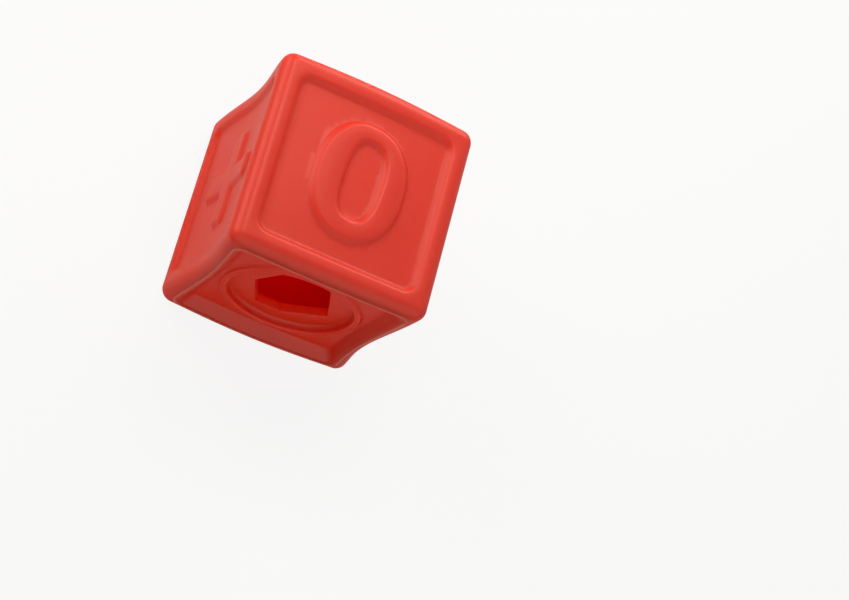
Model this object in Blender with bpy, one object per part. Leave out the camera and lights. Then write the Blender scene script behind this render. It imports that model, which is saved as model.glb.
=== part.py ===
"""Soft hollow number block, squeezed a little between its two X walls.

A five-sided moulded shell carries framed faces with raised signs. The sixth side is a panel of its
own with a raised ring and a trimmed cut-out into the hollow. It is bonded into a seat in the shell,
and the bond shows as a fine seam round the panel. Metres, +Z up through the face with the zero, the
open side faces -Y, and the origin is the middle of the resting face.
"""

import math

import bmesh
import bpy
from mathutils import Matrix, Vector

# Whole block
BLOCK_SIDE = 0.0550
EDGE_RADIUS = 0.0033
EDGE_SEGMENTS = 5

# Squeeze: both X walls pressed in, the edges along X bowed out, and the top panel puffed up.
# The lift shares, left and right, put a waist over mid-height above 1 and under it below 1.
WAIST_LEFT = 0.00185
WAIST_RIGHT = 0.0025
WAIST_LIFT_SHARES = (1.15, 0.78)
SWELL = 0.0012
SWELL_FADE_SHARE = 0.8
PUFF = 0.0002

# Hollow inside
WALL = 0.0026
HOLLOW_EDGE_RADIUS = 0.0025
HOLLOW_EDGE_SEGMENTS = 3

# Frame and sunk panel of each moulded face
FRAME_WIDTH = 0.0065
FRAME_SLOPE_RUN = 0.0030
PANEL_RECESS = 0.00135
PANEL_CORNER_RADIUS = 0.0021

# The frame's slope, from its crest to its foot: shares of its run and of the recess
SLOPE_SHARES = ((0.10, 0.02), (0.25, 0.13), (0.40, 0.30), (0.94, 0.965), (1.00, 1.00))

# Raised signs
SIGN_HEIGHT = 0.0011
SIGN_SLOPE_RUN = 0.0023
SIGN_ROOT = 0.0008
ZERO_WIDTH = 0.0266
ZERO_HEIGHT = 0.0342
ZERO_OFFSET = (0.0005, 0.0007)
ZERO_TURN = math.radians(-3)
ZERO_EYE_WIDTH = 0.0081
ZERO_EYE_HEIGHT = 0.0199
ZERO_EYE_OFFSET = (0.0005, 0.0005)
ZERO_OUTER_POWER = 2.28
ZERO_EYE_POWER = 2.70
SIGN_SPAN = 0.0290
SIGN_BAR_WIDTH = 0.0090
SIGN_CORNER_RADIUS = 0.0024
EQUALS_BAR_WIDTH = 0.0080
EQUALS_PITCH = 0.0140

# The signs' slope, from the root to the flat top: shares of its run and of the sign's height
SIGN_SLOPE_SHARES = ((0.00, 0.05), (0.25, 0.21), (0.48, 0.58), (0.72, 0.89), (1.00, 1.00))

# Joint between the shell and the open panel
JOINT_INSET = 0.0030
SEAT_CORNER_RADIUS = 0.0031
SEAT_LAND = 0.0033
LEDGE_THICKNESS = 0.0018
SEAM_THICKNESS = 0.0006
SEAM_FOOT = 0.0020
FITTING_GAP = 0.0003

# Open panel
PANEL_EDGE_THICKNESS = 0.0046
OPEN_FRAME_WIDTH = 0.0072
OPEN_FRAME_SLOPE_RUN = 0.0027
OPEN_PANEL_RECESS = 0.0030
RING_MARGIN = 0.0010
RING_WIDTH = 0.0021
RING_SINK = 0.0022
RING_ROUND = 0.0007
RING_FLOOR_SINK = 0.0044
RING_FLOOR_ROUND = 0.0006
RING_FLOOR_THICKNESS = 0.0022

# Trimmed cut-out: its corners as shares of the ring's radius, to the right and up, seen from outside
CUT_OUT_SHARES = (
    (-0.565, 0.027),
    (-0.294, -0.620),
    (0.065, -0.622),
    (0.619, -0.184),
    (0.225, 0.820),
    (-0.234, 0.820),
)

# Fineness of the curved surfaces
CORNER_STEPS = 5
ROUND_STEPS = 4
OVAL_STEPS = 44
RING_STEPS = 56
SLICE_COUNTS = (8, 4, 8)
SQUEEZE_POWER = 3

# Working allowances
OVERRUN = 0.0020
WELD = 0.000002
SMOOTH_ANGLE = math.radians(40)

# Finish
RUBBER_COLOR = (0.745, 0.048, 0.026, 1.0)
PANEL_COLOR = (0.735, 0.045, 0.024, 1.0)
SEAM_COLOR = (0.790, 0.090, 0.060, 1.0)
RUBBER_ROUGHNESS = 0.42
SEAM_ROUGHNESS = 0.35

HALF = BLOCK_SIDE / 2
RING_RADIUS = HALF - OPEN_FRAME_WIDTH - RING_MARGIN
CENTRE = Vector((0, 0, HALF))

# Each side's right, up and outward directions, seen from outside
SIDES = {
    "top": (Vector((1, 0, 0)), Vector((0, 1, 0)), Vector((0, 0, 1))),
    "base": (Vector((-1, 0, 0)), Vector((0, 1, 0)), Vector((0, 0, -1))),
    "left": (Vector((0, -1, 0)), Vector((0, 0, 1)), Vector((-1, 0, 0))),
    "right": (Vector((0, 1, 0)), Vector((0, 0, 1)), Vector((1, 0, 0))),
    "rear": (Vector((-1, 0, 0)), Vector((0, 0, 1)), Vector((0, 1, 0))),
    "front": (Vector((1, 0, 0)), Vector((0, 0, 1)), Vector((0, -1, 0))),
}


def clear_scene():
    """Removes every object of the file."""
    for item in list(bpy.data.objects):
        bpy.data.objects.remove(item, do_unlink=True)


def make_material(name, color, roughness):
    """A soft rubber finish of one colour."""
    material = bpy.data.materials.new(name)
    material.use_nodes = True
    shader = material.node_tree.nodes["Principled BSDF"]
    shader.inputs["Base Color"].default_value = color
    shader.inputs["Roughness"].default_value = roughness
    shader.inputs["Metallic"].default_value = 0.0
    return material


def side_matrix(side):
    """Carries a side's own right, up and outward axes to the block, from the middle of its frame."""
    right, up, outward = SIDES[side]
    turn = Matrix((right, up, outward)).transposed().to_4x4()
    return Matrix.Translation(CENTRE + outward * HALF) @ turn


def rounded_outline(corners, radius, inset=0.0, steps=CORNER_STEPS):
    """The points of a polygon, drawn in by an inset, with its corners rounded by arcs."""
    points = []
    for place, corner in enumerate(corners):
        here = Vector(corner)
        along = (here - Vector(corners[place - 1])).normalized()
        onward = (Vector(corners[(place + 1) % len(corners)]) - here).normalized()
        normal = Vector((-along.y, along.x))
        next_normal = Vector((-onward.y, onward.x))
        turn = math.atan2(along.cross(onward), along.dot(onward))
        moved = here + (normal + next_normal) * inset / (1 + normal.dot(next_normal))
        drawn = radius - inset if turn > 0 else radius + inset
        arc = math.copysign(max(drawn, radius / steps), turn)
        centre = moved - along * arc * math.tan(turn / 2) + normal * arc
        for step in range(steps + 1):
            angle = turn * step / steps
            spoke = -normal * arc
            swung = Matrix.Rotation(angle, 2) @ spoke
            points.append(centre + swung)
    return points


def square_corners(half_width, half_height=None):
    """The corners of an upright rectangle round the origin."""
    tall = half_width if half_height is None else half_height
    return [(-half_width, -tall), (half_width, -tall), (half_width, tall), (-half_width, tall)]


def plus_corners(half_span, half_bar):
    """The twelve corners of a plus sign."""
    quarter = [(half_bar, half_bar), (half_bar, half_span), (-half_bar, half_span)]
    corners = []
    for turn in range(4):
        swing = Matrix.Rotation(math.pi / 2 * turn, 2)
        corners += [tuple(swing @ Vector(point)) for point in quarter]
    return corners


def oval(width, height, power, steps=OVAL_STEPS):
    """The points of an oval whose fullness follows a power."""
    points = []
    for step in range(steps):
        angle = 2 * math.pi * step / steps
        across = math.copysign(abs(math.cos(angle)) ** (2 / power), math.cos(angle))
        along = math.copysign(abs(math.sin(angle)) ** (2 / power), math.sin(angle))
        points.append(Vector((across * width / 2, along * height / 2)))
    return points


def circle(radius, steps=RING_STEPS):
    """The points of a circle round the origin."""
    angles = [2 * math.pi * step / steps for step in range(steps)]
    return [Vector((radius * math.cos(angle), radius * math.sin(angle))) for angle in angles]


def at_height(outline, height):
    """Lifts a flat outline to a height over the side's frame."""
    return [Vector((point.x, point.y, height)) for point in outline]


def loft(name, loops, matrix, closed=False):
    """A solid skinned over loops of equal count, capped at both ends or closed into a ring."""
    shape = bmesh.new()
    rings = [[shape.verts.new(point) for point in loop] for loop in loops]
    pairs = list(zip(rings, rings[1:]))
    if closed:
        pairs.append((rings[-1], rings[0]))
    count = len(rings[0])
    for ring, following in pairs:
        for place in range(count):
            after = (place + 1) % count
            shape.faces.new((ring[place], ring[after], following[after], following[place]))
    if not closed:
        shape.faces.new(list(reversed(rings[0])))
        shape.faces.new(rings[-1])
    bmesh.ops.remove_doubles(shape, verts=shape.verts, dist=WELD)
    bmesh.ops.recalc_face_normals(shape, faces=shape.faces)
    shape.transform(matrix)
    return finish_object(name, shape)


def finish_object(name, shape):
    """Turns an edited shape into an object of the scene."""
    mesh = bpy.data.meshes.new(name)
    shape.to_mesh(mesh)
    shape.free()
    item = bpy.data.objects.new(name, mesh)
    bpy.context.scene.collection.objects.link(item)
    return item


def rounded_box(name, low, high, radius, segments):
    """A box between two corners with all its edges rounded."""
    shape = bmesh.new()
    bmesh.ops.create_cube(shape, size=1.0)
    middle = (low + high) / 2
    size = high - low
    for vert in shape.verts:
        vert.co = Vector((vert.co.x * size.x, vert.co.y * size.y, vert.co.z * size.z)) + middle
    bmesh.ops.bevel(
        shape,
        geom=list(shape.edges),
        offset=radius,
        segments=segments,
        profile=0.5,
        affect="EDGES",
        clamp_overlap=True,
    )
    return finish_object(name, shape)


def soft_pan(name, side, half_width, run, depth, radius):
    """The cutter of a sunk panel: a rounded square whose wall slopes softly down to its floor."""
    corners = square_corners(half_width + run)
    loops = []
    for inward, drop in SLOPE_SHARES:
        outline = rounded_outline(corners, radius + run, run * inward)
        if not loops:
            loops.append(at_height(outline, OVERRUN))
        loops.append(at_height(outline, -depth * drop))
    return loft(name, loops, side_matrix(side))


def slope_stations():
    """The inset and the height of each level of a raised sign, from its root to its flat top."""
    slope = [(SIGN_SLOPE_RUN * inward, SIGN_HEIGHT * rise) for inward, rise in SIGN_SLOPE_SHARES]
    return [(0.0, -SIGN_ROOT)] + slope


def raised_sign(name, side, corners, turn=0.0, shift=(0.0, 0.0)):
    """A sign with rounded corners and soft slopes, standing on a sunk panel."""
    loops = []
    for inset, height in slope_stations():
        outline = rounded_outline(corners, SIGN_CORNER_RADIUS, inset, ROUND_STEPS)
        loops.append(at_height(outline, height - PANEL_RECESS))
    place = Matrix.Translation((*shift, 0)) @ Matrix.Rotation(turn, 4, "Z")
    return loft(name, loops, side_matrix(side) @ place)


def raised_zero(name, side):
    """The numeral: one raised band that runs round between an outer oval and its eye."""
    stations = slope_stations()
    eye_place = Vector(ZERO_EYE_OFFSET)
    loops = []
    for inset, height in stations:
        outer = oval(ZERO_WIDTH - 2 * inset, ZERO_HEIGHT - 2 * inset, ZERO_OUTER_POWER)
        loops.append(at_height(outer, height - PANEL_RECESS))
    for inset, height in reversed(stations):
        eye = oval(ZERO_EYE_WIDTH + 2 * inset, ZERO_EYE_HEIGHT + 2 * inset, ZERO_EYE_POWER)
        loops.append(at_height([point + eye_place for point in eye], height - PANEL_RECESS))
    place = Matrix.Translation((*ZERO_OFFSET, 0)) @ Matrix.Rotation(ZERO_TURN, 4, "Z")
    return loft(name, loops, side_matrix(side) @ place, closed=True)


def combine(item, others, operation):
    """Cuts or joins an object with each of a list of others, and removes them."""
    for other in others:
        step = item.modifiers.new(other.name, "BOOLEAN")
        step.operation = operation
        step.solver = "EXACT"
        step.object = other
    baked = bpy.data.meshes.new_from_object(
        item.evaluated_get(bpy.context.evaluated_depsgraph_get())
    )
    item.modifiers.clear()
    item.data = baked
    for other in others:
        bpy.data.objects.remove(other, do_unlink=True)


def bowed(share):
    """A bow that is full in the middle and gone at a distance of one share."""
    return math.cos(math.pi / 2 * min(abs(share), 1))


def squeezed(point):
    """Where a point of the block lies once the block is squeezed between its two X walls."""
    level = min(max(point.z / BLOCK_SIDE, 0), 1)
    across, deep = point.x / HALF, point.y / HALF
    waist = WAIST_LEFT if across < 0 else WAIST_RIGHT
    lift = WAIST_LIFT_SHARES[0] if across < 0 else WAIST_LIFT_SHARES[1]
    swell = SWELL * (1 - SWELL_FADE_SHARE * level**2 if deep < 0 else 1)
    panel_half = HALF - FRAME_WIDTH
    dome = bowed(point.x / panel_half) * bowed(point.y / panel_half)
    pressed = waist * math.sin(math.pi * level**lift) ** 2 * min(abs(across), 1) ** SQUEEZE_POWER
    bulged = swell * bowed(across) * min(abs(deep), 1) ** SQUEEZE_POWER
    raised = PUFF * dome * max(2 * level - 1, 0) ** 2
    return point + Vector(
        (-math.copysign(pressed, point.x), math.copysign(bulged, point.y), raised)
    )


def squeeze(item):
    """Slices a piece along all three axes, so that it can bend, and squeezes it."""
    shape = bmesh.new()
    shape.from_mesh(item.data)
    bmesh.ops.triangulate(shape, faces=shape.faces)
    corner = CENTRE - Vector((HALF, HALF, HALF))
    for axis, count in enumerate(SLICE_COUNTS):
        direction = Vector([float(place == axis) for place in range(3)])
        for step in range(1, count):
            bmesh.ops.bisect_plane(
                shape,
                geom=shape.verts[:] + shape.edges[:] + shape.faces[:],
                dist=WELD,
                plane_co=corner + direction * BLOCK_SIDE * step / count,
                plane_no=direction,
            )
    bmesh.ops.remove_doubles(shape, verts=shape.verts, dist=WELD)
    for vert in shape.verts:
        vert.co = squeezed(vert.co)
    bmesh.ops.triangulate(shape, faces=shape.faces)
    shape.to_mesh(item.data)
    shape.free()


def dress(item, material):
    """Gives a piece its material and smooth shading with crisp edges kept."""
    item.data.materials.clear()
    item.data.materials.append(material)
    item.data.shade_smooth()
    item.data.set_sharp_from_angle(angle=SMOOTH_ANGLE)


def make_shell(material):
    """Five framed walls in one moulding, hollow inside, with a stepped seat in the open side."""
    corner = Vector((HALF, HALF, HALF))
    shell = rounded_box("shell", CENTRE - corner, CENTRE + corner, EDGE_RADIUS, EDGE_SEGMENTS)

    panel_half = HALF - FRAME_WIDTH
    cutters = []
    for side in ("top", "base", "left", "right", "rear"):
        cutters.append(
            soft_pan(
                side + "_pan", side, panel_half, FRAME_SLOPE_RUN, PANEL_RECESS, PANEL_CORNER_RADIUS
            )
        )

    hollow_half = HALF - PANEL_RECESS - WALL
    seat_depth = PANEL_EDGE_THICKNESS + SEAM_THICKNESS + 2 * FITTING_GAP
    low = CENTRE - Vector((hollow_half, HALF - seat_depth - LEDGE_THICKNESS, hollow_half))
    high = CENTRE + Vector((hollow_half, hollow_half, hollow_half))
    cutters.append(rounded_box("hollow", low, high, HOLLOW_EDGE_RADIUS, HOLLOW_EDGE_SEGMENTS))

    seat_half = HALF - JOINT_INSET
    seat = rounded_outline(square_corners(seat_half), SEAT_CORNER_RADIUS)
    cutters.append(
        loft("seat", [at_height(seat, OVERRUN), at_height(seat, -seat_depth)], side_matrix("front"))
    )
    mouth = rounded_outline(square_corners(seat_half - SEAT_LAND), SEAT_CORNER_RADIUS)
    mouth_depth = seat_depth + LEDGE_THICKNESS + OVERRUN
    cutters.append(
        loft(
            "mouth",
            [at_height(mouth, OVERRUN - seat_depth), at_height(mouth, -mouth_depth)],
            side_matrix("front"),
        )
    )
    combine(shell, cutters, "DIFFERENCE")

    plus = plus_corners(SIGN_SPAN / 2, SIGN_BAR_WIDTH / 2)
    bar = square_corners(SIGN_SPAN / 2, SIGN_BAR_WIDTH / 2)
    equals_bar = square_corners(SIGN_SPAN / 2, EQUALS_BAR_WIDTH / 2)
    signs = [
        raised_zero("zero", "top"),
        raised_sign("plus", "left", plus),
        raised_sign("minus", "right", bar),
        raised_sign("times", "rear", plus, turn=math.pi / 4),
        raised_sign("equals_upper", "base", equals_bar, shift=(0.0, EQUALS_PITCH / 2)),
        raised_sign("equals_lower", "base", equals_bar, shift=(0.0, -EQUALS_PITCH / 2)),
    ]
    combine(shell, signs, "UNION")
    squeeze(shell)
    dress(shell, material)


def ring_profile():
    """The radius and height of the ring's section, from its back round the lip to its floor."""
    back = -RING_FLOOR_SINK - RING_FLOOR_THICKNESS
    inner = RING_RADIUS - RING_WIDTH
    profile = [(RING_RADIUS - RING_ROUND, back), (RING_RADIUS, back + RING_ROUND)]
    for centre, start in ((RING_RADIUS - RING_ROUND, 0.0), (inner + RING_ROUND, math.pi / 2)):
        for step in range(ROUND_STEPS + 1):
            angle = start + math.pi / 2 * step / ROUND_STEPS
            height = -RING_SINK - RING_ROUND * (1 - math.sin(angle))
            profile.append((centre + RING_ROUND * math.cos(angle), height))
    for step in range(1, ROUND_STEPS + 1):
        angle = math.pi / 2 * step / ROUND_STEPS
        radius = inner - RING_FLOOR_ROUND * (1 - math.cos(angle))
        height = -RING_FLOOR_SINK + RING_FLOOR_ROUND * (1 - math.sin(angle))
        profile.append((radius, height))
    return profile


def make_open_panel(material):
    """The bonded sixth side: a frame, a sunk panel, a raised ring and the cut-out in its floor."""
    front = side_matrix("front")
    panel_half = HALF - JOINT_INSET - SEAM_THICKNESS - 2 * FITTING_GAP
    radius = SEAT_CORNER_RADIUS - SEAM_THICKNESS - 2 * FITTING_GAP
    outline = rounded_outline(square_corners(panel_half), radius)
    panel = loft(
        "open_panel",
        [at_height(outline, -PANEL_EDGE_THICKNESS), at_height(outline, 0)],
        front,
    )
    pan = soft_pan(
        "open_pan",
        "front",
        HALF - OPEN_FRAME_WIDTH,
        OPEN_FRAME_SLOPE_RUN,
        OPEN_PANEL_RECESS,
        PANEL_CORNER_RADIUS,
    )
    well = circle(RING_RADIUS - RING_WIDTH / 2)
    bore = loft(
        "ring_bore",
        [at_height(well, -PANEL_EDGE_THICKNESS - OVERRUN), at_height(well, OVERRUN)],
        front,
    )
    combine(panel, [pan, bore], "DIFFERENCE")

    ring = loft("ring", [at_height(circle(size), height) for size, height in ring_profile()], front)
    combine(panel, [ring], "UNION")

    corners = [(across * RING_RADIUS, up * RING_RADIUS) for across, up in CUT_OUT_SHARES]
    cut = [Vector(corner) for corner in corners]
    cut_depth = RING_FLOOR_SINK + RING_FLOOR_THICKNESS + OVERRUN
    cut_out = loft("cut_out", [at_height(cut, -cut_depth), at_height(cut, OVERRUN)], front)
    combine(panel, [cut_out], "DIFFERENCE")
    squeeze(panel)
    dress(panel, material)


def make_seam(material):
    """The set bond: a thin leg that shows round the panel, and a foot on the seat's ledge."""
    outer = HALF - JOINT_INSET - FITTING_GAP
    leg = outer - SEAM_THICKNESS
    foot = outer - SEAM_FOOT
    foot_top = -PANEL_EDGE_THICKNESS - FITTING_GAP
    foot_bottom = foot_top - SEAM_THICKNESS
    section = (
        (outer, foot_bottom),
        (outer, 0.0),
        (leg, 0.0),
        (leg, foot_top),
        (foot, foot_top),
        (foot, foot_bottom),
    )
    loops = []
    for half_width, height in section:
        inset = outer - half_width
        corner = SEAT_CORNER_RADIUS - FITTING_GAP
        outline = rounded_outline(square_corners(outer), corner, inset)
        loops.append(at_height(outline, height))
    seam = loft("bond_seam", loops, side_matrix("front"), closed=True)
    squeeze(seam)
    dress(seam, material)


def main():
    """Builds the block's pieces."""
    clear_scene()
    make_shell(make_material("shell_rubber", RUBBER_COLOR, RUBBER_ROUGHNESS))
    make_open_panel(make_material("panel_rubber", PANEL_COLOR, RUBBER_ROUGHNESS))
    make_seam(make_material("seam_bond", SEAM_COLOR, SEAM_ROUGHNESS))


main()
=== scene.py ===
"""Soft hollow number block: its fine surfaces, its rubber, and a plain pale stage.

Three pieces are made here in place of the frame's plain solids: the shell with its framed faces
and raised signs, the open panel with its ring and trimmed cut-out, and the fine seam of bond
between them.
Metres, +Z up through the face with the zero, and the open side faces -Y.
"""

import math

import bmesh
import bpy
import numpy as np
from bpy.props import FloatProperty, FloatVectorProperty, PointerProperty
from mathutils import Matrix, Vector


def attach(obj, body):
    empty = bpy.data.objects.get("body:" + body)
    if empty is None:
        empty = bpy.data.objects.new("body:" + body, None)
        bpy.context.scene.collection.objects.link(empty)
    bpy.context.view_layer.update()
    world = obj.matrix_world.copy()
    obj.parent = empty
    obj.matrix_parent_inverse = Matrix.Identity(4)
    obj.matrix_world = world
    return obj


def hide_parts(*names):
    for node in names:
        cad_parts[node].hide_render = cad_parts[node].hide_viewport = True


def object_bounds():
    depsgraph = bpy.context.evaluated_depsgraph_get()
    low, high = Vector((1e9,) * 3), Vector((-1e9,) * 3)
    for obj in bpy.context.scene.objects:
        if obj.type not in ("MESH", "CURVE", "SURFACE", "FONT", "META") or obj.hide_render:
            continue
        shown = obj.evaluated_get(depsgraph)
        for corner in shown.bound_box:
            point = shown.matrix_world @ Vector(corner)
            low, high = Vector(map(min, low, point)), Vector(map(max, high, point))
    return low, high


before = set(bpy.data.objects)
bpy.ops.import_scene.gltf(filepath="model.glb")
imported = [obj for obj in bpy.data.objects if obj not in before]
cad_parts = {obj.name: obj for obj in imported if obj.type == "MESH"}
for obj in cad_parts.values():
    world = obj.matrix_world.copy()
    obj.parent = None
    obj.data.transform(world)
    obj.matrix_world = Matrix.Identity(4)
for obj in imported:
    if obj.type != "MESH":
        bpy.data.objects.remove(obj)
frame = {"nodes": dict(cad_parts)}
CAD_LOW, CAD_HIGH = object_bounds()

bl_info = {
    "name": "Soft Number Block",
    "version": (1, 0, 0),
    "blender": (4, 5, 0),
    "location": "View3D > Sidebar > Number Block",
    "description": "Builds a soft hollow rubber number block and a pale stage round it",
    "category": "Add Mesh",
}

BLOCK_SIDE = CAD_HIGH.z - CAD_LOW.z
SMOOTH_ANGLE = math.radians(40)

# Points nearer than this are one, and limits of the sums on outlines
WELD = 0.000002
TINY = 1e-12
TOUCH = 1e-6
HALVINGS = 34

# How deep a sign's root is sunk, how far a cutter overruns, and the room round the bond
ROOT = 0.0008
OVERRUN = 0.0020
SLACK = 0.00003

# How the squeeze fades inward from a wall, and how the swell fades upward
SQUEEZE_POWER = 3
SWELL_FADE_SHARE = 0.8

# Fullness of the zero's outer oval and of its eye
OUTER_POWER = 2.28
EYE_POWER = 2.70

# Shares of a slope's run taken by its soft crest and by the fillet at its foot
SIGN_CREST, SIGN_FOOT = 0.60, 0.30
FRAME_CREST, FRAME_FOOT = 0.34, 0.07

# A shell frame's fall: the share that it loses gently, and where its steeper part begins
GENTLE_SHARE, STEEP_START = 0.27, 0.38

# Where the middle of a small round edge lies, as a share of its radius
ROUND_SHARE = 0.3

# Fineness of the curved surfaces
SKIN_ANGLES = 480
SEAM_ANGLES = 2 * SKIN_ANGLES
SIGN_ANGLES = 360
EDGE_STEPS = 8
SLOPE_STEPS = 18
BEAD_STEPS = 8
HOLLOW_EDGE_STEPS = 6
HOLLOW_CUTS = 14
ANGLE_GAP = 0.004

# Where the loops of the flat sheets lie, as shares of the way in to the middle or the next outline
PANEL_SHARES = np.linspace(0.08, 0.96, 12)
SIGN_TOP_SHARES = (0.3, 0.6, 0.9)
ZERO_TOP_SHARES = (0.2, 0.4, 0.6, 0.8)
OPEN_PANEL_SHARES = (0.3, 0.6, 0.85)
WELL_FLOOR_SHARES = (0.25, 0.5, 0.75, 0.92)

# Cut-out corners as shares of the ring's radius, to the right and up, seen from outside
CUT_OUT_SHARES = (
    (-0.565, 0.027),
    (-0.294, -0.620),
    (0.065, -0.622),
    (0.619, -0.184),
    (0.225, 0.820),
    (-0.234, 0.820),
)

# The lip's section as shares of the ring's width, going inward, and of the lip's height
LIP_SHARES = (
    (-0.28, 0.00),
    (-0.12, 0.10),
    (0.00, 0.36),
    (0.06, 0.66),
    (0.15, 0.90),
    (0.27, 1.00),
    (0.38, 1.00),
    (0.46, 0.92),
    (0.50, 0.84),
    (0.54, 0.90),
    (0.62, 1.01),
    (0.76, 1.02),
    (0.88, 0.94),
    (0.96, 0.74),
    (1.00, 0.40),
)

# The well's wall as shares of the floor's rounding, going inward, and of the drop to the floor
WELL_SHARES = (
    (0.05, 0.00),
    (0.12, 0.35),
    (0.25, 0.66),
    (0.50, 0.88),
    (0.75, 0.97),
    (1.00, 1.00),
)

# The bond's bead: its waves all the way round, how they sway, and the rough flash at one spot
BEAD_WAVES, BEAD_WAVE_SHARE = 37, 0.5
SWAY_WAVES, SWAY = 5, 2
FLASH_ANGLE, FLASH_SPREAD = math.radians(43), math.radians(3)
FLASH_FINE, FLASH_COARSE, FLASH_SHIFT = 190, 77, 1
FLASH_SHARE = 2.5
BEAD_LIFT = SLACK / 3

# The rubber: detail of its clouds and grain, spread of its gloss, and the grain's relief
CLOUD_DETAIL, GRAIN_DETAIL = 3.0, 2.0
GLOSS_SPREAD = 0.05
GRAIN_STRENGTH, GRAIN_RELIEF = 0.10, 0.00005

# How far red, green and blue go in the rubber, and how it mirrors and bends light
GLOW_REACH = (1.0, 0.12, 0.06)
MIRROR_LEVEL = 0.31
MIRROR_TINT = (1.0, 0.94, 0.86, 1)
BENDING = 1.48

# The stage's colours
FLOOR_COLOR = (0.72, 0.72, 0.72, 1)
SKY_COLOR = (1.0, 0.99, 0.98, 1)
WHITE = (1, 1, 1, 1)

# The picture's width in px, and the camera
PICTURE_WIDTH = 849
SENSOR_WIDTH = 36.0
CLIP_START = 0.01
CAMERA_TARGET = (0.03536, -0.00972, 0.0275)

# Each side's right, up and outward directions, seen from outside
SIDES = {
    "top": ((1, 0, 0), (0, 1, 0), (0, 0, 1)),
    "base": ((-1, 0, 0), (0, 1, 0), (0, 0, -1)),
    "left": ((0, -1, 0), (0, 0, 1), (-1, 0, 0)),
    "right": ((0, 1, 0), (0, 0, 1), (1, 0, 0)),
    "rear": ((-1, 0, 0), (0, 0, 1), (0, 1, 0)),
    "front": ((1, 0, 0), (0, 0, 1), (0, -1, 0)),
}


def length(name, description, default):
    """A length that a user may change."""
    return FloatProperty(
        name=name,
        description=description,
        default=default,
        min=0.0,
        precision=5,
        unit="LENGTH",
        subtype="DISTANCE",
    )


def amount(name, description, default):
    """A plain number that a user may change."""
    return FloatProperty(name=name, description=description, default=default, min=0.0)


def color(name, description, default):
    """A colour that a user may change."""
    return FloatVectorProperty(
        name=name,
        description=description,
        default=default,
        size=4,
        min=0.0,
        max=1.0,
        subtype="COLOR",
    )


def tone(name, description, default):
    """A lamp's colour that a user may change."""
    return FloatVectorProperty(
        name=name, description=description, default=default, min=0.0, max=1.0, subtype="COLOR"
    )


def place(name, description, default):
    """A place that a user may change."""
    return FloatVectorProperty(
        name=name, description=description, default=default, unit="LENGTH", subtype="TRANSLATION"
    )


class BlockForm(bpy.types.PropertyGroup):
    """The block's body: its side, soft edges, frames, hollow and the squeeze."""

    side: length("Side", "Length of the block's side", BLOCK_SIDE)
    edge: length("Edge radius", "Radius of the block's outer edges", 0.0033)
    frame: length("Frame width", "From the block's side to the foot of the frame's slope", 0.0069)
    run: length("Frame slope", "Run of the slope from the frame's crest to the panel", 0.0035)
    recess: length("Panel recess", "How deep the panels lie under their frames", 0.00135)
    corner: length("Panel corner", "Radius of the panels' corners", 0.0021)
    wall: length("Wall", "Thickness of the moulding behind the panels", 0.0026)
    hollow_edge: length("Hollow edge", "Radius of the hollow's edges", 0.0025)
    waist_left: length("Left waist", "How far the left wall is pressed in", 0.00185)
    waist_right: length("Right waist", "How far the right wall is pressed in", 0.0025)
    lift_left: amount("Left lift", "Over 1 the left waist lies over mid-height", 1.15)
    lift_right: amount("Right lift", "Under 1 the right waist lies under mid-height", 0.78)
    swell: length("Swell", "How far the edges along X bow outward", 0.0012)
    puff: length("Puff", "How far the top panel is puffed up", 0.0002)


class SignForm(bpy.types.PropertyGroup):
    """The raised signs: the zero and the bars of the other faces."""

    height: length("Sign height", "How far a sign stands over its panel", 0.0011)
    run: length("Slope run", "Width of the soft slope along a sign's edge", 0.0024)
    sink: length("Root sink", "How far under its panel a sign's slope begins", 0.00005)
    dome: length("Dome", "How far a sign's top is domed", 0.00008)
    zero_width: length("Zero width", "Width of the zero", 0.0266)
    zero_height: length("Zero height", "Height of the zero", 0.0342)
    zero_x: length("Zero across", "How far the zero sits to the right of the middle", 0.0005)
    zero_y: length("Zero up", "How far the zero sits above the middle", 0.0007)
    zero_turn: amount("Zero turn", "How far the zero leans to the right, degrees", 3.0)
    eye_width: length("Eye width", "Width of the zero's eye", 0.0081)
    eye_height: length("Eye height", "Height of the zero's eye", 0.0199)
    eye_x: length("Eye across", "How far the eye sits to the right in the zero", 0.0005)
    eye_y: length("Eye up", "How far the eye sits above the zero's middle", 0.0005)
    span: length("Bar length", "Length of a sign's bar", 0.0290)
    bar: length("Bar width", "Width of a sign's bar", 0.0090)
    pitch: length("Equals pitch", "Distance between the two bars of the equals sign", 0.0140)
    slim: length("Slim bar width", "Width of each bar of the equals sign", 0.0080)
    corner: length("Sign corner", "Radius of a bar's corners", 0.0024)
    fillet: length("Crossing fillet", "Softness of the corners where two bars cross", 0.0012)


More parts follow.
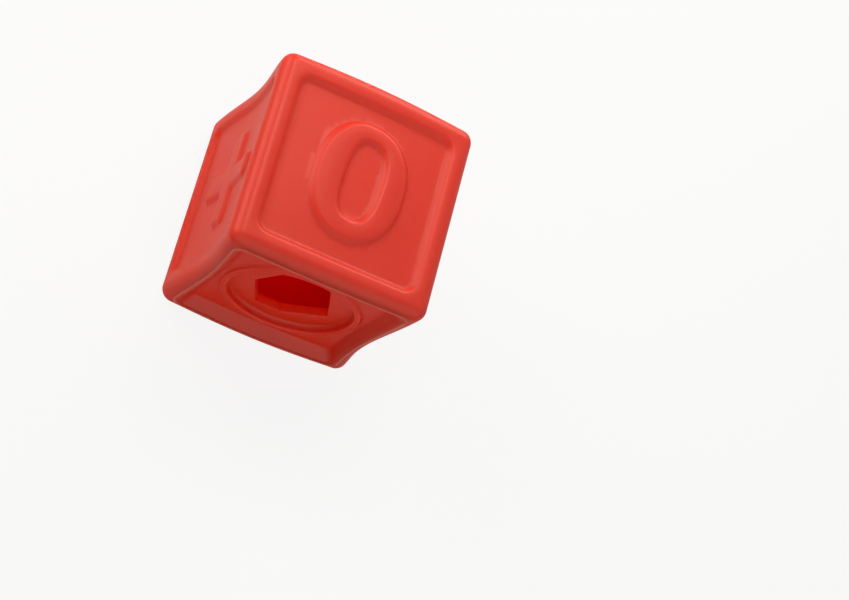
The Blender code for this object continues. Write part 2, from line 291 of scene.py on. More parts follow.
class OpenPanelForm(bpy.types.PropertyGroup):
    """The bonded panel: its frame, ring, well, cut-out and joint."""

    joint: length("Joint inset", "From the block's side to the seat's wall", 0.0030)
    seat_corner: length("Seat corner", "Radius of the seat's corners", 0.0031)
    seat_land: length("Seat land", "Width of the ledge that carries the panel", 0.0033)
    ledge: length("Ledge", "Thickness of the seat's ledge", 0.0018)
    seam: length("Seam", "Thickness of the bond's leg", 0.0006)
    seam_foot: length("Seam foot", "Width of the bond's foot on the ledge", 0.0020)
    edge_thickness: length("Edge thickness", "Thickness of the panel at its edge", 0.0046)
    frame: length("Frame width", "From the block's side to the foot of the panel's slope", 0.0072)
    recess: length("Recess", "How deep the open panel lies under its frame", 0.0030)
    ring_margin: length("Ring margin", "From the slope's foot to the ring", 0.0010)
    lip: length("Lip width", "Width of the ring's lip", 0.0021)
    lip_sink: length("Lip sink", "How far the lip lies under the frame", 0.0022)
    floor_sink: length("Floor sink", "How far the well's floor lies under the frame", 0.0044)
    floor_round: length("Floor rounding", "Rounding between the well's wall and its floor", 0.0009)
    floor: length("Floor thickness", "Thickness of the well's floor", 0.0022)
    soft: length("Cut edge", "Softness of the cut-out's edge", 0.0003)
    rim: length("Panel rim", "Softness of the panel's outer edge", 0.0001)
    bead: length("Bead", "How far the bond's bead stands out of the joint", 0.0001)
    bead_lap: length("Bead lap", "How far the bead laps over both sides of its joint", 0.0001)


class RubberFinish(bpy.types.PropertyGroup):
    """The rubber's colour and surface."""

    shade: color("Rubber", "Colour of the rubber", (0.720, 0.022, 0.003, 1.0))
    pale: color(
        "Pale rubber", "Colour of the paler clouds in the rubber", (0.735, 0.026, 0.004, 1.0)
    )
    # The bond's colour is partly the set bond's own paler tone and partly a painted highlight, so
    # the seam reads as a pale line along the panel's edge
    bond: color("Bond", "Colour of the set bond", (0.820, 0.110, 0.075, 1.0))
    roughness: amount("Roughness", "Middle roughness of the rubber", 0.38)
    glow: amount("Glow", "Share of light that goes through the rubber's skin", 1.0)
    depth: length("Glow depth", "How deep the light goes", 0.0035)
    bond_depth: length("Bond glow depth", "How deep the light goes in the set bond", 0.0002)
    cloud: length("Cloud size", "Size of the clouds in the colour", 0.0120)
    grain: length("Grain size", "Size of the surface's fine grain", 0.0004)


class StageForm(bpy.types.PropertyGroup):
    """The camera, lamps and floor."""

    azimuth: amount("Camera azimuth", "Direction of view from +Y towards +X, degrees", 39.066)
    drop: amount("Camera drop", "How steeply the camera looks down, degrees", 59.496)
    roll: amount("Camera roll", "How far the picture is turned, degrees", 58.248)
    reach: length("Camera distance", "From the camera to the point it looks at", 0.5568)
    focal: amount("Focal length", "Focal length in px of an 849 px wide picture", 2100.0)
    key: amount("Key lamp", "Power of the key lamp, watts", 0.32)
    key_size: length("Key lamp size", "Side of the key lamp", 0.11)
    key_place: place("Key lamp place", "From the block's middle", (-0.032, 0.148, 0.276))
    side: amount("Side lamp", "Power of the side lamp, watts", 1.22)
    side_size: length("Side lamp size", "Side of the side lamp", 0.33)
    side_place: place("Side lamp place", "From the block's middle", (-0.37, 0.20, 0.22))
    rear: amount("Rear lamp", "Power of the rear lamp, watts", 0.42)
    rear_size: length("Rear lamp size", "Side of the rear lamp", 0.18)
    rear_place: place("Rear lamp place", "From the block's middle", (0.100, 0.290, 0.150))
    front: amount("Front lamp", "Power of the front lamp, watts", 1.60)
    front_size: length("Front lamp size", "Side of the front lamp", 0.80)
    front_place: place("Front lamp place", "From the block's middle", (0.08, -0.50, 0.16))
    lamp_tone: tone("Lamp colour", "Colour of the lamps", (1.0, 0.97, 0.88))
    glow: amount("Glow lamp", "Power of the faint lamp in the hollow, watts", 0.006)
    glow_size: length("Glow lamp size", "Radius of the lamp in the hollow", 0.006)
    glow_tone: tone("Glow colour", "Colour of the light that the walls let in", (1.0, 0.02, 0.01))
    sky: amount("Sky", "Strength of the pale surroundings on the object", 0.18)
    floor: length("Floor size", "Side of the pale floor", 1.6)
    floor_seen: amount("Floor white", "Share of white in the floor as the camera sees it", 0.88)
    floor_mirrored: amount("Mirrored white", "Share of white in the floor as mirrored", 0.05)


class BlockSettings(bpy.types.PropertyGroup):
    """Everything that a user may change."""

    body: PointerProperty(type=BlockForm)
    sign: PointerProperty(type=SignForm)
    panel: PointerProperty(type=OpenPanelForm)
    rubber: PointerProperty(type=RubberFinish)
    stage: PointerProperty(type=StageForm)


def eased(share, crest, foot):
    """A step from 0 to 1: a soft crest, a straight slope and a small fillet at its foot."""
    steep = 1 / (1 - crest / 2 - foot / 2)
    rising = steep * share**2 / (2 * crest)
    straight = steep * (share - crest / 2)
    ending = 1 - steep * (1 - share) ** 2 / (2 * foot)
    return np.where(share < crest, rising, np.where(share < 1 - foot, straight, ending))


def rolled(share):
    """A frame's fall from 0 to 1: a gentle roll inward, then a steeper part with a soft foot."""
    late = np.clip((share - STEEP_START) / (1 - STEEP_START), 0, 1)
    gentle, steep = (step**2 * (3 - 2 * step) for step in (share, late))
    return GENTLE_SHARE * gentle + (1 - GENTLE_SHARE) * steep


def bar_distance(across, up, half_width, half_height, radius):
    """How far points lie outside a bar with round corners, negative inside."""
    over_x = np.abs(across) - (half_width - radius)
    over_y = np.abs(up) - (half_height - radius)
    outside = np.hypot(np.maximum(over_x, 0), np.maximum(over_y, 0))
    return outside + np.minimum(np.maximum(over_x, over_y), 0) - radius


def crossing_distance(across, up, sign):
    """How far points lie outside two crossed bars with a soft crossing, negative inside."""
    lying = bar_distance(across, up, sign.span / 2, sign.bar / 2, sign.corner)
    standing = bar_distance(up, across, sign.span / 2, sign.bar / 2, sign.corner)
    blend = np.maximum(sign.fillet - np.abs(lying - standing), 0) / sign.fillet
    return np.minimum(lying, standing) - blend**2 * sign.fillet / 4


def traced_reach(angles, distance, inset, limit):
    """How far an outline, drawn in by an inset, lies from its middle in each direction."""
    near, far = np.zeros_like(angles), np.full_like(angles, limit)
    for _ in range(HALVINGS):
        middle = (near + far) / 2
        inside = distance(middle * np.cos(angles), middle * np.sin(angles)) < -inset
        near, far = np.where(inside, middle, near), np.where(inside, far, middle)
    return (near + far) / 2


def oval_reach(angles, width, height, power):
    """How far an oval's outline lies from its middle, in each direction."""
    flat_x = np.abs(np.cos(angles)) / (width / 2)
    flat_y = np.abs(np.sin(angles)) / (height / 2)
    return (flat_x**power + flat_y**power) ** (-1 / power)


def square_reach(angles, half, radius):
    """How far a rounded square's outline lies from its middle, in each direction."""
    across, up = np.abs(np.cos(angles)), np.abs(np.sin(angles))
    flat = half / np.maximum(across, up)
    core = half - radius
    total = core * (across + up)
    round_reach = total + np.sqrt(np.maximum(total**2 - 2 * core**2 + radius**2, 0))
    at_corner = flat * np.minimum(across, up) > core
    return np.where(at_corner, round_reach, flat)


def polygon_reach(angles, corners):
    """How far a polygon's outline lies from its middle, in each direction."""
    reach = np.full_like(angles, np.inf)
    direction = np.stack([np.cos(angles), np.sin(angles)], -1)
    for start, end in zip(corners, np.roll(corners, -1, axis=0)):
        along = end - start
        across = direction[:, 0] * along[1] - direction[:, 1] * along[0]
        safe = np.where(np.abs(across) < TINY, TINY, across)
        distance = (start[0] * along[1] - start[1] * along[0]) / safe
        share = (start[0] * direction[:, 1] - start[1] * direction[:, 0]) / safe
        hit = (distance > 0) & (share >= -TOUCH) & (share <= 1 + TOUCH)
        reach = np.where(hit & (distance < reach), distance, reach)
    return reach


def even_angles(count):
    """Directions all the way round, with the eight main ones among them."""
    return np.linspace(0, 2 * np.pi, count, endpoint=False)


def carry(side, flat, block):
    """Places points, given in a side's own directions, on the block's side."""
    right, up, out = (np.array(axis, float) for axis in SIDES[side])
    centre = np.array((0, 0, block.side / 2))
    level = flat[..., 2] + block.side / 2
    return centre + flat[..., :1] * right + flat[..., 1:2] * up + level[..., None] * out


def loop(angles, reach, level):
    """One closed line of points from its reach in every direction and its height."""
    reach, level = np.broadcast_to(reach, angles.shape), np.broadcast_to(level, angles.shape)
    return np.stack([reach * np.cos(angles), reach * np.sin(angles), level], -1)


def bowed(share):
    """A bow that is full in the middle and gone at a distance of one share."""
    return np.cos(np.pi / 2 * np.minimum(np.abs(share), 1))


def press(points, block):
    """Presses the two X walls in, bows the edges along X outward and puffs the top panel up."""
    half = block.side / 2
    level = np.clip(points[:, 2] / block.side, 0, 1)
    across, deep = points[:, 0] / half, points[:, 1] / half
    waist = np.where(across < 0, block.waist_left, block.waist_right)
    swell = block.swell * np.where(deep < 0, 1 - SWELL_FADE_SHARE * level**2, 1)
    panel = half - block.frame
    dome = bowed(points[:, 0] / panel) * bowed(points[:, 1] / panel)
    lift = np.where(across < 0, block.lift_left, block.lift_right)
    inward = np.minimum(np.abs(across), 1) ** SQUEEZE_POWER
    pressed = waist * np.sin(np.pi * level**lift) ** 2 * inward
    bulged = swell * bowed(across) * np.minimum(np.abs(deep), 1) ** SQUEEZE_POWER
    raised = block.puff * dome * np.maximum(2 * level - 1, 0) ** 2
    shift = np.stack([-np.sign(across) * pressed, np.sign(deep) * bulged, raised], -1)
    return points + shift


def skinned(loops, closed=False):
    """The points and faces of a skin over loops of equal count, capped or closed into a ring."""
    count = len(loops[0])
    index = np.arange(len(loops) * count).reshape(len(loops), count)
    onward = np.roll(index, -1, axis=1)
    rows = range(len(loops)) if closed else range(len(loops) - 1)
    faces = []
    for row in rows:
        after = (row + 1) % len(loops)
        quads = np.stack([index[row], onward[row], onward[after], index[after]], -1)
        faces += quads.tolist()
    if not closed:
        faces += [index[0][::-1].tolist(), index[-1].tolist()]
    return np.concatenate(loops), faces


def mesh_object(name, points, faces):
    """A closed mesh object of the scene, its faces turned outward."""
    mesh = bpy.data.meshes.new(name)
    mesh.from_pydata(np.asarray(points).tolist(), [], faces)
    shape = bmesh.new()
    shape.from_mesh(mesh)
    bmesh.ops.remove_doubles(shape, verts=shape.verts, dist=WELD)
    bmesh.ops.recalc_face_normals(shape, faces=shape.faces)
    shape.to_mesh(mesh)
    shape.free()
    item = bpy.data.objects.new(name, mesh)
    bpy.context.scene.collection.objects.link(item)
    return item


def side_loops(angles, block, sunk):
    """The loops of one side of the block, from its edge over the frame and down to its panel."""
    half = block.side / 2
    core = half - block.edge
    loops = []
    for step in range(EDGE_STEPS + 1):
        tilt = math.pi / 4 * (1 - step / EDGE_STEPS)
        loops.append(loop(angles, square_reach(angles, core + block.edge * math.tan(tilt), 0), 0))
    if not sunk:
        return loops
    crest = half - block.frame + block.run
    shares = np.linspace(0, 1, SLOPE_STEPS + 1)
    for share, fall in zip(shares, rolled(shares)):
        corner = block.corner + block.run * (1 - share)
        reach = square_reach(angles, crest - block.run * share, corner)
        loops.append(loop(angles, reach, -block.recess * fall))
    panel = square_reach(angles, half - block.frame, block.corner)
    for share in PANEL_SHARES:
        loops.append(loop(angles, panel * (1 - share), -block.recess))
    return loops


def rounded_over(flat, block):
    """Bends the edge of a flat sheet over the block's round edges."""
    core = block.side / 2 - block.edge
    middle = np.clip(flat[..., :2], -core, core)
    lean = np.concatenate([flat[..., :2] - middle, np.full_like(flat[..., :1], block.edge)], -1)
    lean *= (block.edge + flat[..., 2:]) / np.linalg.norm(lean, axis=-1, keepdims=True)
    return np.concatenate([middle + lean[..., :2], lean[..., 2:] - block.edge], -1)


def block_skin(block):
    """The block's closed outer skin: six sheets that meet along its round edges."""
    angles = even_angles(SKIN_ANGLES)
    points, faces = [], []
    for side in SIDES:
        loops = side_loops(angles, block, side != "front")
        sheet, sheet_faces = skinned(loops)
        start = sum(len(part) for part in points)
        faces += [[corner + start for corner in face] for face in sheet_faces[:-2]]
        faces.append([corner + start for corner in sheet_faces[-1]])
        points.append(carry(side, rounded_over(sheet, block), block))
    return mesh_object("shell_skin", np.concatenate(points), faces)


def slope(sign):
    """The inset and the height of each level of a sign's slope, from its root to its top."""
    shares = np.linspace(0, 1, SLOPE_STEPS + 1)
    rises = 1 - eased(1 - shares, SIGN_CREST, SIGN_FOOT)
    heights = (sign.height + sign.sink) * rises - sign.sink
    return [(0.0, -ROOT), *zip(sign.run * shares, heights)]


def raised_bars(name, side, distance, block, sign, turn=0.0, shift=0.0):
    """A solid sign whose outline lies at equal distance from its bars."""
    angles = even_angles(SIGN_ANGLES)
    loops = []
    for inset, height in slope(sign):
        reach = traced_reach(angles, distance, inset, sign.span)
        loops.append(loop(angles, reach, height - block.recess))
    for share in SIGN_TOP_SHARES:
        level = sign.height - block.recess + sign.dome * math.sin(math.pi / 2 * share)
        loops.append(loop(angles, reach * (1 - share), level))
    points, faces = skinned(loops)
    points = turned(points, turn) + (0, shift, 0)
    return mesh_object(name, carry(side, points, block), faces)


def turned(points, turn):
    """Turns flat points to the left by an angle."""
    lean = np.array([[math.cos(turn), -math.sin(turn)], [math.sin(turn), math.cos(turn)]])
    return np.concatenate([points[..., :2] @ lean.T, points[..., 2:]], -1)


def raised_zero(block, sign):
    """The zero: a raised band that runs round between an outer oval and its eye."""
    angles = even_angles(SIGN_ANGLES)
    eye_place = np.array((sign.eye_x, sign.eye_y, 0))
    outer, eye = [], []
    for inset, height in slope(sign):
        level = height - block.recess
        width, tall = sign.zero_width - 2 * inset, sign.zero_height - 2 * inset
        outer.append(loop(angles, oval_reach(angles, width, tall, OUTER_POWER), level))
        width, tall = sign.eye_width + 2 * inset, sign.eye_height + 2 * inset
        eye.append(loop(angles, oval_reach(angles, width, tall, EYE_POWER), level) + eye_place)
    between = []
    for share in ZERO_TOP_SHARES:
        ring = outer[-1] * (1 - share) + eye[-1] * share
        ring[:, 2] += sign.dome * math.sin(math.pi * share)
        between.append(ring)
    points, faces = skinned(outer + between + eye[::-1], closed=True)
    points = turned(points, -math.radians(sign.zero_turn)) + (sign.zero_x, sign.zero_y, 0)
    return mesh_object("zero", carry("top", points, block), faces)


def soft_box(name, low, high, edge):
    """A closed box between two corners with round edges."""
    shape = bmesh.new()
    bmesh.ops.create_cube(shape, size=1.0)
    middle, size = (Vector(low) + Vector(high)) / 2, Vector(high) - Vector(low)
    for vert in shape.verts:
        vert.co = vert.co * size + middle
    bmesh.ops.bevel(
        shape,
        geom=list(shape.edges),
        offset=edge,
        segments=HOLLOW_EDGE_STEPS,
        profile=0.5,
        affect="EDGES",
    )
    long_edges = [item for item in shape.edges if item.calc_length() > edge * 2]
    bmesh.ops.subdivide_edges(shape, edges=long_edges, cuts=HOLLOW_CUTS, use_grid_fill=True)
    mesh = bpy.data.meshes.new(name)
    shape.to_mesh(mesh)
    shape.free()
    item = bpy.data.objects.new(name, mesh)
    bpy.context.scene.collection.objects.link(item)
    return item


def seat_plug(name, half, radius, low, high, block):
    """A rounded square plug in the open side, between two heights over its frame."""
    angles = even_angles(SKIN_ANGLES)
    reach = square_reach(angles, half, radius)
    points, faces = skinned([loop(angles, reach, low), loop(angles, reach, high)])
    return mesh_object(name, carry("front", points, block), faces)


def combine(item, others, operation):
    """Cuts closed skins out of an item or joins them to it, and removes them."""
    for other in others:
        step = item.modifiers.new(other.name, "BOOLEAN")
        step.operation = operation
        step.solver = "MANIFOLD"
        step.object = other
    graph = bpy.context.evaluated_depsgraph_get()
    item.data = bpy.data.meshes.new_from_object(item.evaluated_get(graph))
    item.modifiers.clear()
    if not item.data.polygons:
        raise RuntimeError("nothing is left of " + item.name)
    for other in others:
        bpy.data.objects.remove(other, do_unlink=True)


def finish_piece(item, block, material, node):
    """Squeezes a piece, shades it smoothly, and gives it its rubber and its place in the frame."""
    points = np.empty(len(item.data.vertices) * 3)
    item.data.vertices.foreach_get("co", points)
    item.data.vertices.foreach_set("co", press(points.reshape(-1, 3), block).ravel())
    item.data.update()
    item.data.materials.clear()
    item.data.materials.append(material)
    item.data.shade_smooth()
    item.data.set_sharp_from_angle(angle=SMOOTH_ANGLE)
    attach(item, "root")
    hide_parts(node)


def add_node(tree, kind, spot, **values):
    """A shader node at a place in its tree, with some of its settings."""
    node = tree.nodes.new(kind)
    node.location = spot
    for key, value in values.items():
        setattr(node, key, value)
    return node


def rubber_material(name, finish, depth, shade, pale=None):
    """Soft satin rubber: uneven gloss, fine grain, a red glow and faint paler clouds."""
    material = bpy.data.materials.new(name)
    material.use_nodes = True
    tree = material.node_tree
    tree.nodes.clear()
    output = add_node(tree, "ShaderNodeOutputMaterial", (600, 0))
    shader = add_node(tree, "ShaderNodeBsdfPrincipled", (300, 0))
    tree.links.new(shader.outputs["BSDF"], output.inputs["Surface"])
    coordinates = add_node(tree, "ShaderNodeTexCoord", (-1100, 0))

    clouds = add_node(tree, "ShaderNodeTexNoise", (-800, 200))
    clouds.inputs["Scale"].default_value = 1 / finish.cloud
    clouds.inputs["Detail"].default_value = CLOUD_DETAIL
    tree.links.new(coordinates.outputs["Object"], clouds.inputs["Vector"])
    if pale is None:
        shader.inputs["Base Color"].default_value = shade
    else:
        tint = add_node(tree, "ShaderNodeMix", (-200, 250), data_type="RGBA")
        tint.inputs["A"].default_value = shade
        tint.inputs["B"].default_value = pale
        tree.links.new(clouds.outputs["Fac"], tint.inputs["Factor"])
        tree.links.new(tint.outputs["Result"], shader.inputs["Base Color"])

    gloss = add_node(tree, "ShaderNodeMapRange", (-200, 0))
    gloss.inputs["To Min"].default_value = finish.roughness - GLOSS_SPREAD
    gloss.inputs["To Max"].default_value = finish.roughness + GLOSS_SPREAD
    tree.links.new(clouds.outputs["Fac"], gloss.inputs["Value"])
    tree.links.new(gloss.outputs["Result"], shader.inputs["Roughness"])

    grain = add_node(tree, "ShaderNodeTexNoise", (-800, -200))
    grain.inputs["Scale"].default_value = 1 / finish.grain
    grain.inputs["Detail"].default_value = GRAIN_DETAIL
    tree.links.new(coordinates.outputs["Object"], grain.inputs["Vector"])
    bump = add_node(tree, "ShaderNodeBump", (0, -250))
    bump.inputs["Strength"].default_value = GRAIN_STRENGTH
    bump.inputs["Distance"].default_value = GRAIN_RELIEF
    tree.links.new(grain.outputs["Fac"], bump.inputs["Height"])
    tree.links.new(bump.outputs["Normal"], shader.inputs["Normal"])

    shader.inputs["Subsurface Weight"].default_value = finish.glow
    shader.inputs["Subsurface Radius"].default_value = GLOW_REACH
    shader.inputs["Subsurface Scale"].default_value = depth
    shader.inputs["Specular IOR Level"].default_value = MIRROR_LEVEL
    shader.inputs["Specular Tint"].default_value = MIRROR_TINT
    shader.inputs["IOR"].default_value = BENDING
    return material


class NUMBERBLOCK_OT_shell(bpy.types.Operator):
    """Make the shell: five framed faces with raised signs, the hollow and the seat"""

    bl_idname = "number_block.shell"
    bl_label = "Make the shell"

    def execute(self, context):
        """Builds the shell."""
        settings = context.scene.number_block
        block, sign, panel = settings.body, settings.sign, settings.panel
        half = block.side / 2
        shell = block_skin(block)

        def lying(across, up):
            return bar_distance(across, up, sign.span / 2, sign.bar / 2, sign.corner)

        def slim(across, up):
            return bar_distance(across, up, sign.span / 2, sign.slim / 2, sign.corner)

        def crossed(across, up):
            return crossing_distance(across, up, sign)

        signs = [
            raised_zero(block, sign),
            raised_bars("plus", "left", crossed, block, sign),
            raised_bars("minus", "right", lying, block, sign),
            raised_bars("times", "rear", crossed, block, sign, turn=math.pi / 4),
            raised_bars("equals_upper", "base", slim, block, sign, shift=sign.pitch / 2),
            raised_bars("equals_lower", "base", slim, block, sign, shift=-sign.pitch / 2),
        ]
        combine(shell, signs, "UNION")

        seat_depth = panel.edge_thickness + 2 * panel.seam
        inner = half - block.recess - block.wall
        hollow = soft_box(
            "hollow",
            (-inner, seat_depth + panel.ledge - half, half - inner),
            (inner, inner, half + inner),
            block.hollow_edge,
        )
        seat_half = half - panel.joint
        seat = seat_plug("seat", seat_half, panel.seat_corner, -seat_depth, OVERRUN, block)
        mouth_depth = seat_depth + panel.ledge + OVERRUN
        mouth = seat_plug(
            "mouth",
            seat_half - panel.seat_land,
            panel.seat_corner,
            -mouth_depth,
            OVERRUN - seat_depth,
            block,
        )
        combine(shell, [hollow, seat, mouth], "DIFFERENCE")
        rubber = settings.rubber
        material = rubber_material("shell_rubber", rubber, rubber.depth, rubber.shade, rubber.pale)
        finish_piece(shell, block, material, "shell")
        return {"FINISHED"}


class NUMBERBLOCK_OT_open_panel(bpy.types.Operator):
    """Make the open panel: its frame, ring, well and trimmed cut-out"""

    bl_idname = "number_block.open_panel"
    bl_label = "Make the open panel"

    def execute(self, context):
        """Builds the open panel."""
        settings = context.scene.number_block
        block, panel = settings.body, settings.panel
        half, soft = block.side / 2, panel.soft
        foot = half - panel.frame
        ring = foot - panel.ring_margin
        corners = np.array(CUT_OUT_SHARES) * ring
        corner_angles = np.arctan2(corners[:, 1], corners[:, 0]) % (2 * np.pi)
        even = even_angles(SKIN_ANGLES)
        clear = np.abs(even[:, None] - corner_angles[None, :]).min(axis=1) > ANGLE_GAP
        angles = np.sort(np.concatenate([even[clear], corner_angles]))
        cut = polygon_reach(angles, corners)

        rim = panel.rim
        edge = half - panel.joint - panel.seam - SLACK
        crest = edge - rim
        back = -panel.edge_thickness
        outline = square_reach(angles, edge, panel.seat_corner - panel.seam)
        loops = [
            (outline - rim, back),
            (outline, back + rim),
            (outline, -rim),
            (outline - rim * ROUND_SHARE, -rim * ROUND_SHARE),
        ]
        shares = np.linspace(0, 1, SLOPE_STEPS + 1)
        crest_corner = panel.seat_corner - panel.seam - rim
        for share, fall in zip(shares, eased(shares, FRAME_CREST, FRAME_FOOT)):
            corner = crest_corner * (1 - share) + block.corner * share
            reach = square_reach(angles, crest + (foot - crest) * share, corner)
            loops.append((reach, -panel.recess * fall))
        lip_height = panel.recess - panel.lip_sink
        panel_edge = square_reach(angles, foot, block.corner)
        lip_start = ring - LIP_SHARES[0][0] * panel.lip
        for share in OPEN_PANEL_SHARES:
            loops.append((panel_edge * (1 - share) + lip_start * share, -panel.recess))
        for inward, rise in LIP_SHARES:
            loops.append((ring - inward * panel.lip, lip_height * rise - panel.recess))
        well = ring - panel.lip
        lip_foot = lip_height * LIP_SHARES[-1][1] - panel.recess
        for inward, fall in WELL_SHARES:
            level = lip_foot + (-panel.floor_sink - lip_foot) * fall
            loops.append((well - inward * panel.floor_round, level))
        floor = -panel.floor_sink
        floor_reach = well - panel.floor_round
        for share in WELL_FLOOR_SHARES:
            loops.append((floor_reach * (1 - share) + (cut + soft) * share, floor))
        loops += [
            (cut + soft, floor),
            (cut + soft * ROUND_SHARE, floor - soft * ROUND_SHARE),
            (cut, floor - soft),
            (cut, floor - panel.floor),
            (ring - soft * 2, floor - panel.floor),
            (ring, floor - panel.floor + soft * 2),
            (ring, back),
        ]
        rings = [loop(angles, reach, level) for reach, level in loops]
        points, faces = skinned(rings, closed=True)
        item = mesh_object("open_panel_skin", carry("front", points, block), faces)
        rubber = settings.rubber
        material = rubber_material("panel_rubber", rubber, rubber.depth, rubber.shade, rubber.pale)
        finish_piece(item, block, material, "open_panel")
        return {"FINISHED"}


class NUMBERBLOCK_OT_bond_seam(bpy.types.Operator):
    """Make the bond seam: the set bead that shows round the open panel"""

    bl_idname = "number_block.bond_seam"
    bl_label = "Make the bond seam"

    def execute(self, context):
        """Builds the bond seam."""
        settings = context.scene.number_block
        block, panel = settings.body, settings.panel
        angles = even_angles(SEAM_ANGLES)
        outer = block.side / 2 - panel.joint - SLACK
        leg = outer - panel.seam + 2 * SLACK
        foot = outer - panel.seam_foot
        foot_top = -panel.edge_thickness - SLACK
        foot_bottom = foot_top - panel.seam

        def square(size):
            return square_reach(angles, size, panel.seat_corner - (outer - size))

        sway = SWAY * np.sin(angles * SWAY_WAVES)
        waves = 0.5 + 0.5 * np.sin(angles * BEAD_WAVES + sway)
        flash = np.exp(-(((angles - FLASH_ANGLE) / FLASH_SPREAD) ** 2))
        coarse = np.sin(angles * FLASH_COARSE + FLASH_SHIFT)
        rough = 0.5 + 0.5 * np.sin(angles * FLASH_FINE) * coarse
        rise = panel.bead * (1 + BEAD_WAVE_SHARE * waves + FLASH_SHARE * flash * rough)
        loops = [
            loop(angles, square(foot), foot_bottom),
            loop(angles, square(outer), foot_bottom),
            loop(angles, square(outer), -SLACK),
        ]
        for step in range(BEAD_STEPS + 1):
            angle = math.pi * step / BEAD_STEPS
            reach = (outer - leg) / 2 + panel.bead_lap
            size = (outer + leg) / 2 + reach * math.cos(angle)
            loops.append(loop(angles, square(size), BEAD_LIFT + rise * math.sin(angle)))
        loops += [
            loop(angles, square(leg), -SLACK),
            loop(angles, square(leg), foot_top),
            loop(angles, square(foot), foot_top),
        ]
        points, faces = skinned(loops, closed=True)
        item = mesh_object("bond_seam_skin", carry("front", points, block), faces)
        rubber = settings.rubber
        # The bond's paler colour is partly a painted highlight along the seam
        material = rubber_material("bond_rubber", rubber, rubber.bond_depth, rubber.bond)
        finish_piece(item, block, material, "bond_seam")
        return {"FINISHED"}


def aim(item, target, roll=0.0):
    """Turns an item's -Z towards a point, with a roll about its view."""
    toward = (target - item.location).to_track_quat("-Z", "Y")
    item.rotation_euler = (toward @ Matrix.Rotation(roll, 3, "Z").to_quaternion()).to_euler()


def soft_lamp(name, spot, target, power, size, shade):
    """A square soft lamp that faces a point."""
    data = bpy.data.lights.new(name, "AREA")
    data.energy = power
    data.size = size
    data.color = shade
    item = bpy.data.objects.new(name, data)
    bpy.context.scene.collection.objects.link(item)
    item.location = spot
    aim(item, target)


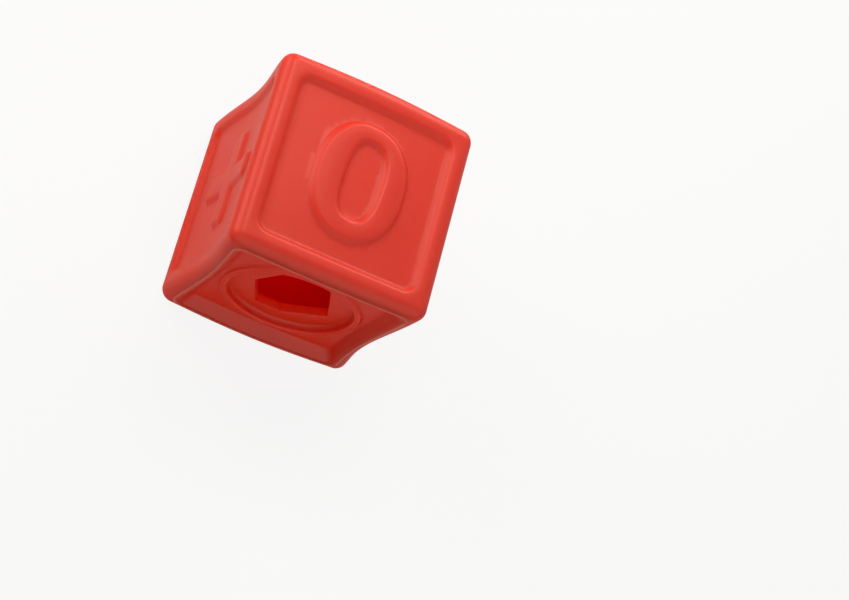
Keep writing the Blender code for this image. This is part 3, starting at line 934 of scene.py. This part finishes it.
class NUMBERBLOCK_OT_stage(bpy.types.Operator):
    """Make the stage: the pale floor, the soft lamps and the camera"""

    bl_idname = "number_block.stage"
    bl_label = "Make the stage"

    def execute(self, context):
        """Builds the stage."""
        scene = context.scene
        stage = scene.number_block.stage
        middle = Vector((0, 0, BLOCK_SIDE / 2))
        self.make_floor(stage)
        self.make_world(scene, stage)
        for name, spot, power, size in (
            ("key_lamp", stage.key_place, stage.key, stage.key_size),
            ("side_lamp", stage.side_place, stage.side, stage.side_size),
            ("rear_lamp", stage.rear_place, stage.rear, stage.rear_size),
            ("front_lamp", stage.front_place, stage.front, stage.front_size),
        ):
            soft_lamp(name, middle + Vector(spot), middle, power, size, stage.lamp_tone)
        self.make_glow(stage, middle)
        self.make_camera(scene, stage)
        scene.view_settings.view_transform = "Standard"
        return {"FINISHED"}

    def sight_rays(self, tree):
        """The rays that come from the camera, and those that mirror or pass on what they meet."""
        rays = add_node(tree, "ShaderNodeLightPath", (-500, 200))
        passed = add_node(tree, "ShaderNodeMath", (-300, 300), operation="ADD")
        tree.links.new(rays.outputs["Is Glossy Ray"], passed.inputs[0])
        tree.links.new(rays.outputs["Is Transmission Ray"], passed.inputs[1])
        return rays.outputs["Is Camera Ray"], passed.outputs[0]

    def make_glow(self, stage, middle):
        """A faint red lamp in the hollow, for the light that the rubber's walls let in."""
        data = bpy.data.lights.new("glow_lamp", "POINT")
        data.energy = stage.glow
        data.color = stage.glow_tone
        data.shadow_soft_size = stage.glow_size
        lamp = bpy.data.objects.new("glow_lamp", data)
        bpy.context.scene.collection.objects.link(lamp)
        lamp.location = middle
        lamp.visible_camera = False
        lamp.visible_glossy = False

    def make_floor(self, stage):
        """A pale floor that keeps a soft shadow."""
        mesh = bpy.data.meshes.new("floor")
        shape = bmesh.new()
        bmesh.ops.create_grid(shape, x_segments=4, y_segments=4, size=stage.floor / 2)
        shape.to_mesh(mesh)
        shape.free()
        floor = bpy.data.objects.new("floor", mesh)
        bpy.context.scene.collection.objects.link(floor)
        material = bpy.data.materials.new("pale_floor")
        material.use_nodes = True
        tree = material.node_tree
        tree.nodes.clear()
        output = add_node(tree, "ShaderNodeOutputMaterial", (600, 0))
        mix = add_node(tree, "ShaderNodeMixShader", (400, 0))
        matte = add_node(tree, "ShaderNodeBsdfDiffuse", (100, -100))
        matte.inputs["Color"].default_value = FLOOR_COLOR
        white = add_node(tree, "ShaderNodeEmission", (100, -250))
        mirrored = add_node(tree, "ShaderNodeMath", (-100, 300), operation="MULTIPLY")
        mirrored.inputs[1].default_value = stage.floor_mirrored
        share = add_node(tree, "ShaderNodeMath", (100, 200), operation="MULTIPLY_ADD")
        share.inputs[1].default_value = stage.floor_seen
        seen, reflected = self.sight_rays(tree)
        tree.links.new(reflected, mirrored.inputs[0])
        tree.links.new(seen, share.inputs[0])
        tree.links.new(mirrored.outputs[0], share.inputs[2])
        tree.links.new(share.outputs[0], mix.inputs[0])
        tree.links.new(matte.outputs[0], mix.inputs[1])
        tree.links.new(white.outputs[0], mix.inputs[2])
        tree.links.new(mix.outputs[0], output.inputs["Surface"])
        mesh.materials.append(material)

    def make_world(self, scene, stage):
        """Pale surroundings, white where they are seen."""
        world = bpy.data.worlds.new("pale_world")
        scene.world = world
        world.use_nodes = True
        tree = world.node_tree
        tree.nodes.clear()
        output = add_node(tree, "ShaderNodeOutputWorld", (600, 0))
        mix = add_node(tree, "ShaderNodeMixShader", (400, 0))
        around = add_node(tree, "ShaderNodeBackground", (100, -50))
        around.inputs["Color"].default_value = SKY_COLOR
        around.inputs["Strength"].default_value = stage.sky
        seen = add_node(tree, "ShaderNodeBackground", (100, -200))
        seen.inputs["Strength"].default_value = 1.0
        seen.inputs["Color"].default_value = WHITE
        either = add_node(tree, "ShaderNodeMath", (200, 200), operation="ADD")
        for socket, rays in zip(either.inputs, self.sight_rays(tree)):
            tree.links.new(rays, socket)
        tree.links.new(either.outputs[0], mix.inputs[0])
        tree.links.new(around.outputs[0], mix.inputs[1])
        tree.links.new(seen.outputs[0], mix.inputs[2])
        tree.links.new(mix.outputs[0], output.inputs["Surface"])

    def make_camera(self, scene, stage):
        """The camera at the photograph's angle."""
        data = bpy.data.cameras.new("camera")
        data.sensor_width = SENSOR_WIDTH
        data.lens = data.sensor_width * stage.focal / PICTURE_WIDTH
        data.clip_start = CLIP_START
        camera = bpy.data.objects.new("camera", data)
        scene.collection.objects.link(camera)
        turn, drop = math.radians(stage.azimuth), math.radians(stage.drop)
        view = Vector(
            (math.sin(turn) * math.cos(drop), math.cos(turn) * math.cos(drop), -math.sin(drop))
        )
        target = Vector(CAMERA_TARGET)
        camera.location = target - view * stage.reach
        aim(camera, target, math.radians(stage.roll))
        scene.camera = camera


OPERATORS = (
    NUMBERBLOCK_OT_shell,
    NUMBERBLOCK_OT_open_panel,
    NUMBERBLOCK_OT_bond_seam,
    NUMBERBLOCK_OT_stage,
)


class NUMBERBLOCK_PT_sidebar(bpy.types.Panel):
    """The block's sizes, finish and steps"""

    bl_idname = "NUMBERBLOCK_PT_sidebar"
    bl_label = "Number Block"
    bl_space_type = "VIEW_3D"
    bl_region_type = "UI"
    bl_category = "Number Block"

    def draw(self, context):
        """Lists the steps and the values."""
        settings = context.scene.number_block
        for step in OPERATORS:
            self.layout.operator(step.bl_idname)
        form = (settings.body, settings.sign, settings.panel)
        for group in (*form, settings.rubber, settings.stage):
            box = self.layout.box()
            for key in group.bl_rna.properties.keys():
                if key not in {"rna_type", "name"}:
                    box.prop(group, key)


CLASSES = (
    BlockForm,
    SignForm,
    OpenPanelForm,
    RubberFinish,
    StageForm,
    BlockSettings,
    *OPERATORS,
    NUMBERBLOCK_PT_sidebar,
)


def register():
    """Makes the classes and the settings known."""
    for item in CLASSES:
        bpy.utils.register_class(item)
    bpy.types.Scene.number_block = PointerProperty(type=BlockSettings)


def unregister():
    """Takes the classes and the settings away again."""
    del bpy.types.Scene.number_block
    for item in reversed(CLASSES):
        bpy.utils.unregister_class(item)


def main():
    """Builds the pieces and the stage in order."""
    register()
    bpy.ops.number_block.shell()
    bpy.ops.number_block.open_panel()
    bpy.ops.number_block.bond_seam()
    bpy.ops.number_block.stage()


if __name__ == "__main__":
    main()
